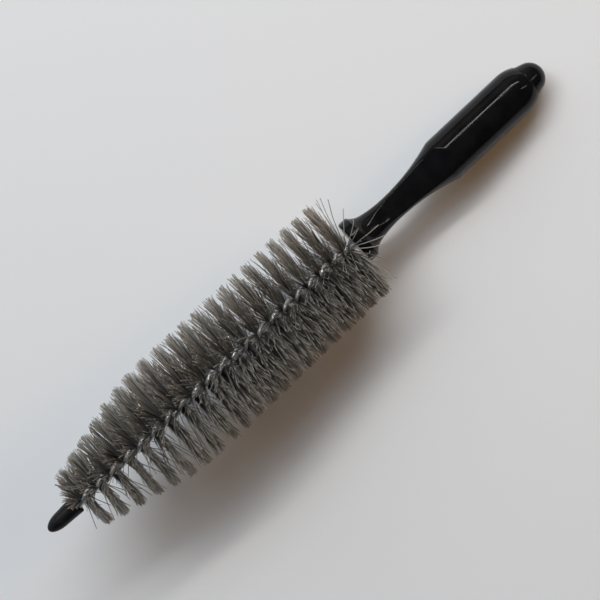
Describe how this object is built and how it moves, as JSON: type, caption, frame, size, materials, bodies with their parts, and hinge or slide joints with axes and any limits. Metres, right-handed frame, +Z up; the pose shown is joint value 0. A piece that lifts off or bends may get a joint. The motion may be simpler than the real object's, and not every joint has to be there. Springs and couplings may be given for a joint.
{
  "type": "wheel brush",
  "caption": "Tapering round brush of plastic filaments on a twisted wire stem, with a soft tip cap and a waisted moulded handle, for cleaning wheels and their spokes.",
  "frame": {"origin": "middle of the round grip, on the common axis of the wires and the handle", "axes": "+X along the axis from the tip cap to the rear of the handle, +Z up when the brush lies on its filaments with the neck's flat hollows above and below, +Y across"},
  "size_m": [0.3698, 0.0684, 0.0682],
  "materials": {
    "cap_black": "satin",
    "wire_steel": "satin",
    "filament_grey": "satin",
    "handle_black": "gloss",
    "lock_steel": "satin"
  },
  "bodies": {
    "root": {"tip_cap": "cap_black", "wire_strand_1": "wire_steel", "wire_strand_2": "wire_steel", "filament_row_01": "filament_grey", "filament_row_02": "filament_grey", "filament_row_03": "filament_grey", "filament_row_04": "filament_grey", "filament_row_05": "filament_grey", "filament_row_06": "filament_grey", "filament_row_07": "filament_grey", "filament_row_08": "filament_grey", "filament_row_09": "filament_grey", "filament_row_10": "filament_grey", "filament_row_11": "filament_grey", "filament_row_12": "filament_grey", "filament_row_13": "filament_grey", "filament_row_14": "filament_grey", "filament_row_15": "filament_grey", "filament_row_16": "filament_grey", "filament_row_17": "filament_grey", "filament_row_18": "filament_grey", "filament_row_19": "filament_grey", "filament_row_20": "filament_grey", "filament_row_21": "filament_grey", "handle_body": "handle_black", "anchor_washer": "lock_steel", "crimp_sleeve": "lock_steel", "end_plug": "handle_black"}
  },
  "joints": []
}
